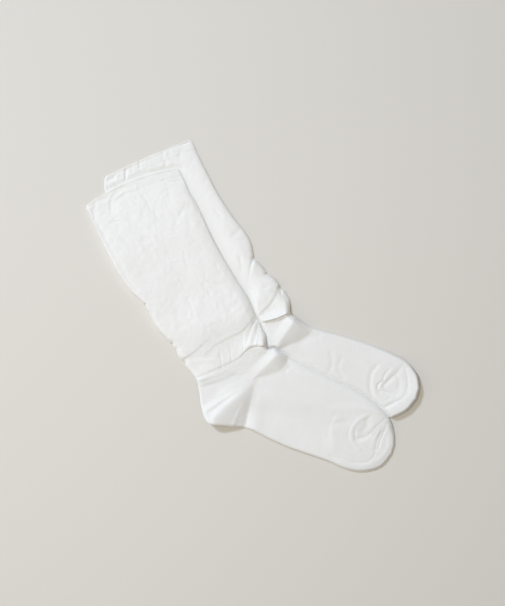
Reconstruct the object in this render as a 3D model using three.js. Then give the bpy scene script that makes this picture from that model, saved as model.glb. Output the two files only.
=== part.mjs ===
// A pair of loose socks laid flat on a surface, the over sock lying partly on the under sock.
// Each sock is a knitted tube: a turned welt, a wide leg that slouches at the ankle, and a
// finer foot with heel and toe. Millimetres, +Z up, the floor at z = 0, cuffs towards -X +Y.
import * as THREE from "three";

// ---- driving sizes ----
const wall = 1.0; // the cloth
const slit = 0.6; // air between the two layers of a flattened tube
const restGap = 0.6; // between the under sock and the over sock
const seamGap = 0.4; // between two pieces that are knitted or sewn together
const flatStack = 2 * wall + slit; // two layers lying on each other
const sideRound = 1.4; // how far the top layer starts inside a side fold
const hemReach = 12; // the leg's edge rises to its step above the foot over this distance
const rideReach = 26; // over this distance the over sock climbs onto the under one
const rideMargin = 4; // it is at full height this far outside the under sock
const rideHeight = flatStack + 0.3 + restGap; // and then lies this high
const backFull = 0.6; // share of the climb that the leg's full back edge makes up
const backRound = 3; // and it is full this far inside the outline
const hideMargin = 3; // the under sock is flat this far out from below the over one
const hideReach = 7; // and from there its folds come up over this distance
const edgeReach = 5; // a fold comes to its full rise this far inside the outline
const weltExtra = 0.3; // the turned welt is this much thicker

// ---- how finely the cloth is divided ----
const legMesh = { across: 16, below: 8, stations: 24 };
const footMesh = { across: 16, below: 8, stations: 38 };
const weltMesh = { across: 44, below: 8, stations: 2 };
const innerToeStop = 0.975; // the inside ends at this share of the foot's length

// ---- sections from cuff to toe ----
// back: the calf, heel and sole side. front: the shin and instep side. loft: how far the top
// layer rises above two flat layers. lift: how far a side is held off what it lies on.
// bow: how far the middle of a section runs towards the cuff.
const overRows = [
  { at: "cuff", backX: -187, backY: 111, frontX: -82, frontY: 154, loft: 0.7, lift: 0, bow: 7 },
  { at: "welt", backX: -179, backY: 95, frontX: -75, frontY: 141, loft: 1.0, lift: 0, bow: 6 },
  { at: "calf", backX: -170, backY: 75, frontX: -63, frontY: 118, loft: 1.6, lift: 0, bow: 4 },
  { at: "calfLow", backX: -159, backY: 53, frontX: -51, frontY: 93, loft: 2.4, lift: 0, bow: 2 },
  { at: "shin", backX: -148, backY: 33, frontX: -41, frontY: 72, loft: 2.6, lift: 0, bow: 0 },
  { at: "shinLow", backX: -135, backY: 15, frontX: -29, frontY: 50, loft: 2.8, lift: 0, bow: 0 },
  { at: "pinch", backX: -120, backY: 0, frontX: -15, frontY: 27, loft: 3.0, lift: 0.6, bow: 0 },
  { at: "puff", backX: -106, backY: -26, frontX: -2, frontY: 7, loft: 4.4, lift: 0, bow: 0 },
  { at: "roll", backX: -92, backY: -42, frontX: 5, frontY: -10, loft: 5.0, lift: 1.2, bow: 0 },
  { at: "tier", backX: -80, backY: -60, frontX: 11, frontY: -22, loft: 3.2, lift: 1, bow: -1 },
  { at: "hem", backX: -62, backY: -83, frontX: 18, frontY: -47, loft: 2.0, lift: 0.6, bow: 0 },
  { at: "ankle", backX: -58, backY: -97, frontX: 22, frontY: -50, loft: 1.3, lift: 0.6, bow: 0 },
  { at: "heelBack", backX: -55, backY: -117, frontX: 27, frontY: -50, loft: 0.8, lift: 0.4, bow: 0 },
  { at: "heel", backX: -47.5, backY: -132.5, frontX: 31, frontY: -53, loft: 0.7, lift: 0.6, bow: 0 },
  { at: "heelUnder", backX: -25, backY: -137, frontX: 37, frontY: -56, loft: 0.8, lift: 0.6, bow: 0 },
  { at: "sole", backX: -4, backY: -140, frontX: 45, frontY: -60, loft: 1.2, lift: 0.6, bow: 0 },
  { at: "arch", backX: 20, backY: -151, frontX: 59, frontY: -68, loft: 1.6, lift: 1, bow: 0 },
  { at: "archLow", backX: 45, backY: -162, frontX: 80, frontY: -78, loft: 1.8, lift: 0.5, bow: 0 },
  { at: "ball", backX: 68, backY: -170, frontX: 102, frontY: -89, loft: 2.0, lift: 0, bow: 0 },
  { at: "ballLow", backX: 88, backY: -177, frontX: 122, frontY: -98, loft: 2.4, lift: 0, bow: 0 },
  { at: "toeStart", backX: 107, backY: -185.5, frontX: 140, frontY: -110, loft: 3.0, lift: 0, bow: 0 },
  { at: "toe", backX: 126, backY: -188.5, frontX: 155, frontY: -126, loft: 3.1, lift: 0, bow: 0 },
  { at: "toeRound", backX: 147, backY: -183, frontX: 162, frontY: -143.5, loft: 2.8, lift: 0, bow: 0 },
  { at: "tip", backX: 160, backY: -168.5, frontX: 163, frontY: -158, loft: 2.6, lift: 0, bow: 0 },
];
const underRows = [
  { at: "cuff", backX: -165, backY: 144, frontX: -67, frontY: 187, loft: 1.1, lift: 0, bow: 1 },
  { at: "welt", backX: -164, backY: 127, frontX: -60, frontY: 171, loft: 1.5, lift: 0, bow: 1 },
  { at: "calf", backX: -154, backY: 108, frontX: -50, frontY: 151, loft: 1.8, lift: 0, bow: 0 },
  { at: "calfLow", backX: -140, backY: 84, frontX: -37, frontY: 126, loft: 2.0, lift: 0, bow: 0 },
  { at: "shin", backX: -124, backY: 58, frontX: -21, frontY: 101, loft: 2.4, lift: 0, bow: 0 },
  { at: "shinLow", backX: -108, backY: 33, frontX: -3, frontY: 77, loft: 3.0, lift: 0, bow: 0 },
  { at: "pinch", backX: -96, backY: 16, frontX: 4, frontY: 55, loft: 3.8, lift: 0, bow: 0 },
  { at: "puff", backX: -82, backY: -1, frontX: 18, frontY: 37, loft: 4.0, lift: 0, bow: 0 },
  { at: "roll", backX: -68, backY: -15, frontX: 32, frontY: 24, loft: 3.8, lift: 0, bow: 0 },
  { at: "tier", backX: -57, backY: -31, frontX: 43, frontY: 6, loft: 2.4, lift: 0, bow: 0 },
  { at: "hem", backX: -44, backY: -49, frontX: 45, frontY: -9, loft: 2.0, lift: 0, bow: 0 },
  { at: "ankle", backX: -36, backY: -65, frontX: 47, frontY: -12, loft: 1.8, lift: 0, bow: 0 },
  { at: "heelBack", backX: -25, backY: -86, frontX: 50, frontY: -14, loft: 1.6, lift: 0, bow: 0 },
  { at: "heel", backX: -12, backY: -100, frontX: 54, frontY: -17, loft: 1.4, lift: 0, bow: 0 },
  { at: "heelUnder", backX: 8, backY: -103, frontX: 60, frontY: -21, loft: 1.4, lift: 0, bow: 0 },
  { at: "sole", backX: 30, backY: -104, frontX: 69, frontY: -26, loft: 1.4, lift: 0, bow: 0 },
  { at: "arch", backX: 51, backY: -107, frontX: 85, frontY: -31, loft: 1.6, lift: 0, bow: 0 },
  { at: "archLow", backX: 72, backY: -110, frontX: 105, frontY: -36, loft: 1.8, lift: 0, bow: 0 },
  { at: "ball", backX: 92, backY: -116, frontX: 125, frontY: -42, loft: 2.0, lift: 0, bow: 0 },
  { at: "ballLow", backX: 110, backY: -122, frontX: 142, frontY: -48, loft: 2.4, lift: 0, bow: 0 },
  { at: "toeStart", backX: 128, backY: -129, frontX: 159, frontY: -55, loft: 3.4, lift: 1.5, bow: 0 },
  { at: "toe", backX: 147, backY: -131, frontX: 176, frontY: -64, loft: 3.4, lift: 3.4, bow: 0 },
  { at: "toeRound", backX: 173, backY: -121, frontX: 187.5, frontY: -79, loft: 3.2, lift: 4.7, bow: 0 },
  { at: "tip", backX: 187, backY: -106.5, frontX: 190.5, frontY: -94, loft: 3.0, lift: 4.7, bow: 0 },
];
const hemRow = overRows.findIndex((row) => row.at === "hem"); // the same row in both socks
const rowPitch = 24; // about how far apart the leg's rows are

// ---- the leg's lower edge ----
// across: from -1 at the back to 1 at the front. out: how far the edge runs towards the cuff.
// step: how far it stands above the foot.
const overHem = [
  { across: -1, out: 0, step: 0.6 },
  { across: 0.2, out: 0, step: 0.8 },
  { across: 0.45, out: 5.5, step: 1.2 },
  { across: 0.6, out: 6.5, step: 2.2 },
  { across: 0.78, out: 4.5, step: 3.2 },
  { across: 1, out: 0, step: 2.6 },
];
const underHem = [
  { across: -1, out: 0, step: 1 },
  { across: -0.2, out: 6.5, step: 1 },
  { across: 0.2, out: 6, step: 1.2 },
  { across: 0.6, out: 0, step: 3.2 },
  { across: 1, out: 0, step: 2 },
];

// ---- the largest folds ----
// Each runs from - via - to. A ridge or trough falls off on both sides; a step stands on the
// side towards the cuff only. start and end: its share of the rise at its two ends.
// below: the share of the rise that the bottom layer follows.
// A pleat stands up to a crest: near is its width towards the cuff, where it comes down to the
// share called rest and fades out, and far is its width on the other side. That side is widest at
// the share of the length called peak, and narrows to the shares farStart and farEnd.
// atEdge: its share of the rise at the outline.
const overFolds = [
  { name: "rollEdge", kind: "step", from: [6, -12], via: [-17.5, -34.5], to: [-47, -52.5],
    rise: 1.9, width: 2, reach: 30, start: 0.5, end: 0.4, below: 0 },
  { name: "pleatEdge", kind: "step", from: [-78.5, -62.5], via: [-57, -48], to: [-35.5, -27.5],
    rise: 1.6, width: 2, reach: 18, start: 1, end: 0, below: 0 },
  { name: "ankleRidge", kind: "pleat", from: [38, -44.5], via: [24.5, -62.5], to: [7, -82],
    rise: 8.2, near: 8.5, far: 13, start: 1, end: 0.12, farStart: 0.5, farEnd: 0.15, peak: 0.45,
    rest: 0.35, fade: 16, atEdge: 0.5, below: 0.8 },
  { name: "heelDome", kind: "pleat", from: [-43.5, -135], via: [-25, -114], to: [1.5, -87.5],
    rise: 12, near: 16, far: 37, start: 1, end: 0.06, farStart: 1, farEnd: 0.15, peak: 0.01,
    rest: 0.42, fade: 34, atEdge: 1, below: 0.85 },
  { name: "hemSwell", kind: "ridge", from: [-3, -46.5], via: [8.5, -47.5], to: [17, -46.5],
    rise: 2.4, width: 6, start: 1, end: 1, below: 0 },
  { name: "heelHemTrough", kind: "ridge", from: [-60.5, -94], via: [-38, -88], to: [-20, -79],
    rise: -1.3, width: 3, start: 1, end: 0.4, below: 0 },
  { name: "heelTrough", kind: "ridge", from: [-54, -107], via: [-36, -102], to: [-16.5, -93.5],
    rise: -1.2, width: 4, start: 1, end: 0.3, below: 0 },
  { name: "soleTrough", kind: "ridge", from: [-6.5, -141], via: [-1.5, -116], to: [3, -96],
    rise: -1.1, width: 3.5, start: 1, end: 0.8, below: 0 },
  { name: "toeRing", kind: "ridge", from: [98, -172], via: [137, -178], to: [150, -140],
    rise: -1.2, width: 3, start: 0.3, end: 0.6, below: 0 },
  { name: "toeInnerRing", kind: "ridge", from: [124, -131], via: [111, -152], to: [126, -170],
    rise: -0.9, width: 3, start: 0.4, end: 0.5, below: 0 },
  { name: "toeSeam", kind: "ridge", from: [154, -127], via: [136, -142], to: [121, -153],
    rise: -1.4, width: 3.5, start: 0.4, end: 0.9, below: 0 },
];
const underFolds = [
  { name: "pinchEdge", kind: "step", from: [5, 53], via: [-2, 40], to: [-3, 28],
    rise: 1.4, width: 2, reach: 14, start: 1, end: 0.3, below: 0 },
  { name: "rollEdge", kind: "step", from: [32, 22], via: [21, 0], to: [5.5, -15],
    rise: 2.8, width: 2, reach: 22, start: 0.6, end: 1, below: 0 },
  { name: "ankleRidge", kind: "pleat", from: [54.5, -10], via: [43.5, -26.5], to: [28, -50],
    rise: 10, near: 9, far: 21.5, start: 1, end: 0.2, farStart: 0.5, farEnd: 0.1, peak: 0.3,
    rest: 0.45, fade: 18, atEdge: 0.4, below: 0.8 },
  { name: "rollSwell", kind: "ridge", from: [15, -16.5], via: [28, -15], to: [41, -9.5],
    rise: 1.8, width: 5, start: 1, end: 1, below: 0 },
  { name: "toeRing", kind: "ridge", from: [144, -69], via: [134, -90], to: [147, -116],
    rise: -1.1, width: 3, start: 0.6, end: 1, below: 0 },
  { name: "toeOuterRing", kind: "ridge", from: [149, -118], via: [170, -107], to: [177, -86],
    rise: -1.0, width: 3, start: 1, end: 0.6, below: 0 },
  { name: "toeSeam", kind: "ridge", from: [176, -62], via: [163.5, -77.5], to: [150, -91],
    rise: -1.4, width: 3, start: 0.4, end: 1, below: 0 },
];
const curveSteps = 10; // straight pieces in a fold's line

// ---- small helpers ----
const mix = (a, b, t) => a + (b - a) * t;
const clamp01 = (t) => Math.min(1, Math.max(0, t));
const smooth = (t) => clamp01(t) ** 2 * (3 - 2 * clamp01(t));

// A Catmull-Rom value between the rows of a table, at row number s.
function column(rows, key, s) {
  const i = Math.min(rows.length - 2, Math.max(0, Math.floor(s)));
  const t = s - i;
  const value = (k) => {
    if (k < 0) return 2 * rows[0][key] - rows[1][key];
    if (k >= rows.length) return 2 * rows[rows.length - 1][key] - rows[rows.length - 2][key];
    return rows[k][key];
  };
  const [a, b, c, d] = [value(i - 1), value(i), value(i + 1), value(i + 2)];
  return b + 0.5 * t * (c - a + t * (2 * a - 5 * b + 4 * c - d + t * (3 * (b - c) + d - a)));
}

// The nearest place on a line of points: its share of the length, its distance with a sign
// (positive to the right of the direction of travel) and how far the point lies past an end.
function nearest(line, x, y) {
  let best = { distance: Infinity };
  line.forEach(([ax, ay], i) => {
    if (i === line.length - 1) return;
    const [dx, dy] = [line[i + 1][0] - ax, line[i + 1][1] - ay];
    const raw = ((x - ax) * dx + (y - ay) * dy) / (dx * dx + dy * dy);
    const t = clamp01(raw);
    const distance = Math.hypot(x - ax - t * dx, y - ay - t * dy);
    if (distance >= best.distance) return;
    const pastStart = i === 0 ? Math.max(0, -raw) : 0;
    const pastEnd = i === line.length - 2 ? Math.max(0, raw - 1) : 0;
    best = {
      distance,
      share: (i + t) / (line.length - 1),
      side: Math.sign((x - ax) * dy - (y - ay) * dx) || 1,
      past: (pastStart + pastEnd) * Math.hypot(dx, dy),
    };
  });
  return best;
}

// A value of a sock's lower leg edge, at u across the sock.
function hemValue(hem, key, u) {
  const i = Math.max(0, hem.findIndex((row, k) => k === hem.length - 2 || hem[k + 1].across >= u));
  const t = (u - hem[i].across) / (hem[i + 1].across - hem[i].across);
  return mix(hem[i][key], hem[i + 1][key], smooth(t));
}

// A fold's line: the parabola through its three points.
function foldLine({ from, via, to }) {
  return Array.from({ length: curveSteps + 1 }, (_, k) => {
    const t = k / curveSteps;
    const weights = [(1 - t) * (1 - 2 * t), 4 * t * (1 - t), t * (2 * t - 1)];
    return [0, 1].map((axis) => weights[0] * from[axis] + weights[1] * via[axis] + weights[2] * to[axis]);
  });
}

// The height of a pleat on one side of its crest, as a share of the crest's.
function pleatFace(fold, across, share) {
  if (across > 0) {
    const face = mix(fold.rest, 1, clamp01(1 - across / fold.near));
    return face * Math.exp(-((Math.max(0, across - fold.near) / fold.fade) ** 2));
  }
  const narrowing = share < fold.peak
    ? (1 - fold.farStart) * (1 - share / fold.peak) ** 2
    : (1 - fold.farEnd) * ((share - fold.peak) / (1 - fold.peak)) ** 1.5;
  return clamp01(1 + across / (fold.far * (1 - narrowing)));
}

// How far one fold raises the cloth at x, y.
function foldRise(fold, x, y) {
  const { distance, share, side, past } = nearest(fold.line, x, y);
  const across = side * fold.highSide * Math.sqrt(Math.max(0, distance ** 2 - past ** 2));
  if (fold.kind === "pleat") {
    const crest = fold.rise * mix(fold.start, fold.end, share ** 1.5);
    return crest * pleatFace(fold, across, share) * Math.exp(-((past / 5) ** 2));
  }
  const along = fold.rise * mix(fold.start, fold.end, smooth(share));
  if (fold.kind === "ridge") return along * Math.exp(-((distance / fold.width) ** 2));
  const face = smooth(0.5 + across / (2 * fold.width));
  const fade = Math.exp(-((Math.max(0, across) / fold.reach) ** 2));
  return along * face * fade * Math.exp(-((past / fold.reach) ** 2));
}

// ---- one sock ----
class Sock {
  constructor(rows, folds, hem, cuffSide) {
    this.rows = rows;
    this.hem = hem;
    this.last = rows.length - 1;
    this.climb = 0; // how high it climbs onto another
    const edges = ["back", "front"].map((side) =>
      Array.from({ length: 4 * this.last + 1 }, (_, k) => this.edge(side, k / 4)));
    this.sides = [...edges[0], ...edges[1].reverse()]; // down the back, round the toe, up the front
    const cuff = Array.from({ length: 7 }, (_, k) => this.plan(0, 0.75 - k / 4));
    this.outline = [...this.sides, ...cuff];
    this.folds = folds.map((fold) => {
      const line = foldLine(fold);
      const probe = nearest(line, fold.via[0] + cuffSide[0], fold.via[1] + cuffSide[1]);
      return { ...fold, line, highSide: probe.side };
    });
  }

  edge(side, s) {
    return [column(this.rows, side + "X", s), column(this.rows, side + "Y", s)];
  }

  // The plan place of u (-1 at the back edge, 1 at the front edge) on the section at s.
  plan(s, u) {
    const [bx, by] = this.edge("back", s);
    const [fx, fy] = this.edge("front", s);
    const bow = (column(this.rows, "bow", s) * (1 - u * u)) / Math.hypot(fx - bx, fy - by);
    const t = (u + 1) / 2;
    return [mix(bx, fx, t) - bow * (fy - by), mix(by, fy, t) + bow * (fx - bx)];
  }

  // The row number at which the leg ends.
  hemAt(u) {
    return hemRow - hemValue(this.hem, "out", u) / rowPitch;
  }

  // The share of a row that a short length takes up at s, u.
  rowShare(length, s, u) {
    const [ax, ay] = this.plan(s - 0.5, u);
    const [bx, by] = this.plan(s + 0.5, u);
    return length / Math.hypot(bx - ax, by - ay);
  }

  contains(x, y) {
    let within = false;
    this.outline.forEach(([ax, ay], i) => {
      const [bx, by] = this.outline[(i + 1) % this.outline.length];
      if (ay > y !== by > y && x < ax + ((bx - ax) * (y - ay)) / (by - ay)) within = !within;
    });
    return within;
  }

  // Distance to the outline, negative outside.
  depth(x, y) {
    const { distance } = nearest([...this.outline, this.outline[0]], x, y);
    return this.contains(x, y) ? distance : -distance;
  }

  // Bottom and top of the cloth at the plan place of s, u.
  heights(s, u) {
    const [x, y] = this.plan(s, u);
    const inset = nearest(this.sides, x, y).distance;
    const roundOff = s < hemRow ? 16 : mix(12, 6, smooth((s - hemRow) / 9));
    const swell = Math.sqrt(1 - (1 - clamp01(inset / roundOff)) ** 2);
    const puff = Math.max(0, column(this.rows, "loft", s)) * swell;
    const frontShare = u < 0 ? 1 : mix(0.4, 1, smooth((s - this.last + 2.2) / 2));
    const lift = Math.max(0, column(this.rows, "lift", s)) * smooth(1 - inset / 34) * frontShare;
    const open = this.showing(x, y);
    let [above, below] = [0, 0];
    for (const fold of this.folds) {
      const rise = foldRise(fold, x, y) * mix(fold.atEdge ?? 1, 1, smooth(inset / edgeReach));
      above += rise;
      below += rise * fold.below;
    }
    const floor = this.floor(x, y);
    const bottom = floor + open * (lift + Math.max(0, below));
    const onBack = smooth(0.5 - u / 0.6) * (1 - smooth((s - 6) / 3)) * smooth(inset / backRound);
    above += backFull * Math.max(0, this.climb - floor) * onBack;
    const fromHem = ((this.hemAt(u) - s) * rowPitch) / hemReach;
    const nearHem = fromHem > 0 ? smooth(inset / 8) * Math.exp(-(fromHem ** 2)) : 0;
    const step = hemValue(this.hem, "step", u) * nearHem;
    const rise = Math.max(0, puff + above - Math.max(0, below) + step);
    return { bottom, top: bottom + flatStack + open * rise + (1 - open) * Math.min(rise, 0.3) };
  }
}

class OverSock extends Sock {
  constructor(rows, folds, hem, cuffSide, under) {
    super(rows, folds, hem, cuffSide);
    this.under = under;
    this.climb = rideHeight;
  }

  floor(x, y) {
    const reached = (this.under.depth(x, y) + rideMargin + rideReach) / rideReach;
    return rideHeight * smooth(reached);
  }

  showing() {
    return 1;
  }
}

class UnderSock extends Sock {
  floor() {
    return 0;
  }

  // 1 where the sock shows, 0 where the other lies on it.
  showing(x, y) {
    return this.cover ? smooth((-this.cover.depth(x, y) - hideMargin) / hideReach) : 1;
  }
}

// ---- rings and walls ----
// One closed ring round a section: over the top from back to front, then back below.
// rowAt gives its row number at u. inset 0 gives the outside of the cloth, the wall's thickness
// gives its inside, and below 0 the cloth is thicker by so much on top.
function ring(sock, rowAt, mesh, inset, ripple) {
  const [backEdge, frontEdge] = [sock.edge("back", rowAt(-1)), sock.edge("front", rowAt(1))];
  const width = Math.hypot(frontEdge[0] - backEdge[0], frontEdge[1] - backEdge[1]);
  const side = Math.min(0.45, (inset * 1.5) / width) * 2;
  const shoulder = Math.min(0.3, sideRound / width) * 2;
  const points = [];
  const put = (u, height) => {
    const [x, y] = sock.plan(rowAt(u), u);
    const { bottom, top } = sock.heights(rowAt(u), u);
    points.push([x, y, height(bottom + Math.max(0, inset), top - inset)]);
  };
  const middle = (low, high) => (low + high) / 2;
  put(-1 + side, middle);
  for (let k = 0; k <= mesh.across; k++) {
    const u = mix(-1 + side + shoulder, 1 - side - shoulder, k / mesh.across);
    put(u, (low, high) => high + ripple(k / mesh.across));
  }
  put(1 - side, middle);
  for (let k = 0; k <= mesh.below; k++) {
    const u = mix(1 - side - shoulder, -1 + side + shoulder, k / mesh.below);
    put(u, (low) => low);
  }
  return points;
}

// Triangles between the rings, with faces out when the rings run towards the toe.
function skin(rings, faces, first, outward) {
  const n = rings[0].length;
  for (let i = 0; i < rings.length - 1; i++) {
    for (let k = 0; k < n; k++) {
      const [a, b] = [first + i * n + k, first + i * n + ((k + 1) % n)];
      const [c, d] = [a + n, b + n];
      if (outward) faces.push(a, c, b, b, c, d);
      else faces.push(a, b, c, b, d, c);
    }
  }
}

function rim(faces, outerStart, innerStart, n, facingCuff) {
  for (let k = 0; k < n; k++) {
    const next = (k + 1) % n;
    const [a, b, c, d] = [outerStart + k, outerStart + next, innerStart + k, innerStart + next];
    if (facingCuff) faces.push(a, b, c, b, d, c);
    else faces.push(a, c, b, b, c, d);
  }
}

function cap(points, faces, start, n, outward) {
  const centre = [0, 1, 2].map((axis) =>
    points.slice(start, start + n).reduce((sum, point) => sum + point[axis], 0) / n);
  points.push(centre);
  for (let k = 0; k < n; k++) {
    const [a, b] = [start + k, start + ((k + 1) % n)];
    if (outward) faces.push(b, a, points.length - 1);
    else faces.push(a, b, points.length - 1);
  }
}

// A tube of cloth between two row numbers, given at u. It is open at the cuff end, and at the
// toe end unless closed.
function cloth(sock, from, to, mesh, { closed = false, thicker = 0, ripple = () => 0 } = {}) {
  const shares = Array.from({ length: mesh.stations + 1 }, (_, k) => k / mesh.stations);
  const rowAt = (share) => (u) => mix(from(u), to(u), share);
  const outer = shares.map((share) => ring(sock, rowAt(share), mesh, -thicker, ripple));
  const innerShares = shares.filter((share) => !closed || rowAt(share)(0) <= sock.last * innerToeStop);
  const inner = innerShares.map((share) => ring(sock, rowAt(share), mesh, wall, () => 0));
  const points = [...outer.flat(), ...inner.flat()];
  const n = outer[0].length;
  const innerStart = outer.length * n;
  const faces = [];
  skin(outer, faces, 0, true);
  skin(inner, faces, innerStart, false);
  rim(faces, 0, innerStart, n, true);
  if (closed) {
    cap(points, faces, (outer.length - 1) * n, n, true);
    cap(points, faces, innerStart + (inner.length - 1) * n, n, false);
  } else {
    rim(faces, (outer.length - 1) * n, innerStart + (inner.length - 1) * n, n, false);
  }
  const geometry = new THREE.BufferGeometry();
  geometry.setAttribute("position", new THREE.BufferAttribute(new Float32Array(points.flat()), 3));
  geometry.setIndex(faces);
  geometry.computeVertexNormals();
  return geometry;
}

const legCloth = new THREE.MeshStandardMaterial({ color: 0xf4f6f5, roughness: 0.92, metalness: 0 });
const footKnit = new THREE.MeshStandardMaterial({ color: 0xeceeed, roughness: 0.86, metalness: 0 });

// The gathers that the welt's thread draws across it, deepest just below its edge.
const gathers = { count: 14, rise: 0.45 };
const weltEnd = 0.75; // the welt's seam, as a row number

function piece(name, geometry, material) {
  const mesh = new THREE.Mesh(geometry, material);
  mesh.name = name;
  return mesh;
}

function sockPieces(name, sock) {
  const welted = (u) => sock.rowShare(seamGap / 2, weltEnd, u);
  const hemmed = (u) => sock.rowShare(seamGap / 2, hemRow, u);
  const gather = (t) => gathers.rise * Math.sin(Math.PI * gathers.count * t) ** 2;
  const welt = cloth(sock, () => 0, (u) => weltEnd - welted(u), weltMesh,
    { thicker: weltExtra, ripple: gather });
  const leg = cloth(sock, (u) => weltEnd + welted(u), (u) => sock.hemAt(u) - hemmed(u), legMesh);
  const foot = cloth(sock, (u) => sock.hemAt(u) + hemmed(u), () => sock.last, footMesh, { closed: true });
  return [
    piece(name + "_welt", welt, legCloth),
    piece(name + "_leg", leg, legCloth),
    piece(name + "_foot", foot, footKnit),
  ];
}

const towardsCuff = [-5, 8.7];
const under = new UnderSock(underRows, underFolds, underHem, towardsCuff);
const over = new OverSock(overRows, overFolds, overHem, towardsCuff, under);
under.cover = over;

const socks = new THREE.Group();
socks.add(...sockPieces("under", under), ...sockPieces("over", over));

export default socks;
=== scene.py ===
# A pair of white loose socks lying flat, the over sock partly on the under sock.
# The tables hold plan sizes in millimetres, +Y towards the cuffs. Meshes are in metres.
import math
import bpy
import numpy as np
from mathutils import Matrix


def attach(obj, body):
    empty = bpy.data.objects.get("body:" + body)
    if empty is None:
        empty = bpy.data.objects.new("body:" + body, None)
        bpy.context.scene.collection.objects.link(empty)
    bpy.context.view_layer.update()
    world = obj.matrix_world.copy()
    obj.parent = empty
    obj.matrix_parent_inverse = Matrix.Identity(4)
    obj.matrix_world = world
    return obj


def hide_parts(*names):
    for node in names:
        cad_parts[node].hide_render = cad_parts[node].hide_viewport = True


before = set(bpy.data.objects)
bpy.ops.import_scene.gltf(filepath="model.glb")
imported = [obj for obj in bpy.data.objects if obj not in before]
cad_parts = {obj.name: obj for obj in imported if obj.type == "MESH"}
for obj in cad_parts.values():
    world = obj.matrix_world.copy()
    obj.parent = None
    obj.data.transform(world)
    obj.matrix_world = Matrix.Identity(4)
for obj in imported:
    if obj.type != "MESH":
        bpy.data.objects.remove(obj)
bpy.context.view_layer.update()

mm = 0.001

cloth = {
    "thickness": 0.5,     # the knitted fabric itself
    "stack": 1.7,         # two layers with a little air between them
    "cuffStack": 1.15,    # pressed flatter at the cuff
    "rim": 0.55,          # height of the pressed fold at each side
    "rimTurn": 0.8,       # the underside turns up to it over this distance
    "backFull": 1.75,     # share of the climb onto the under sock that the leg's full back edge makes up
    "backTurn": 1.6,
    "restGap": 0.15,      # from the under sock's top to the over sock's underside
    "legRide": 34,        # the over leg climbs onto the under one over this distance
    "footRide": 22,
    "hideMargin": 0.5,    # the under sock's relief starts this far outside the over one
    "hidden": 0.05,       # all of it that is left under the over one
    "lip": 0.3,           # the leg's edge stands this far above the foot
    "lipRound": 2.4,      # it swells within this distance of the edge,
    "lipReach": 9,        # and the swell has gone at about twice this one
    "liftReach": 34,      # a lifted edge lifts the cloth beside it over this distance
    "hemRow": 10,
    "weltRow": 0.72,
    "toeRow": 18,
    "rowPitch": 24,
    "seam": 0.02,         # half the gap between two pieces
    "toeEnd": 0.02,       # share of a row that the toe's closed end stops before the last section
    "pitch": 1.0,
}
# how far from its side a tube's loft takes to rise: on the leg, on the foot, where the sock climbs onto
# the other, at the leg's back edge, and for the share that rises slowly, towards the middle
loftReach = {"leg": 6, "foot": 3.2, "climb": 9, "back": 2, "slow": 16}
slowShare = {"leg": 0.45, "foot": 0.12, "back": 0.1}
edgeReach = {"cloth": 2.2, "footClimb": 3.5}      # the same for its plain thickness
coverReach = {"cuff": 6, "leg": 24, "foot": 4}    # and for the under sock's relief beside the over one
# the share of a lift that the front edge takes, also where it climbs, and from how many rows before the
# tip it takes more, up to all
frontLift = {"share": 0.4, "climb": 0.1, "allFrom": 2.2}


def table(keys, *rows):
    return [dict(zip(keys, row)) for row in rows]


rowKeys = ("at", "backX", "backY", "frontX", "frontY", "loft", "lift", "bow")
overRows = table(
    rowKeys,
    ("cuff", -187, 111, -82, 154, 0.5, 0, 7),
    ("welt", -179, 95, -75, 141, 0.8, 0, 6),
    ("calf", -170, 75, -63, 118, 1.4, 0, 4),
    ("calfLow", -159, 53, -51, 93, 2.2, 0, 2),
    ("shin", -148, 33, -41, 72, 2.4, 0, 0),
    ("shinLow", -135, 15, -29, 50, 2.6, 0, 0),
    ("pinch", -120, 0, -15, 27, 2.8, 0.6, 0),
    ("puff", -106, -26, -2, 7, 4.2, 0, 0),
    ("roll", -92, -42, 5, -10, 4.8, 1.2, 0),
    ("tier", -80, -60, 11, -22, 3.0, 1.0, -1),
    ("hem", -62, -83, 18, -47, 1.8, 0.6, 0),
    ("ankle", -58, -97, 22, -50, 1.1, 0.6, 0),
    ("heelBack", -55, -117, 27, -50, 0.5, 0.4, 0),
    ("heel", -47.5, -132.5, 31, -53, 0.4, 0.6, 0),
    ("heelUnder", -25, -137, 37, -56, 0.6, 0.6, 0),
    ("sole", -4, -140, 45, -60, 1.0, 0.6, 0),
    ("arch", 20, -151, 59, -68, 1.4, 1.6, 0),
    ("archLow", 45, -162, 80, -78, 1.6, 1.5, 0),
    ("ball", 68, -170, 102, -89, 1.8, 1.4, 0),
    ("ballLow", 88, -177, 122, -98, 2.2, 1.2, 0),
    ("toeStart", 107, -185.5, 140, -110, 2.5, 1.0, 0),
    ("toe", 126, -188.5, 155, -126, 2.4, 0.8, 0),
    ("toeRound", 147, -183, 162, -143.5, 2.1, 0.4, 0),
    ("tip", 160, -168.5, 163, -158, 1.9, 0, 0),
)
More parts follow.
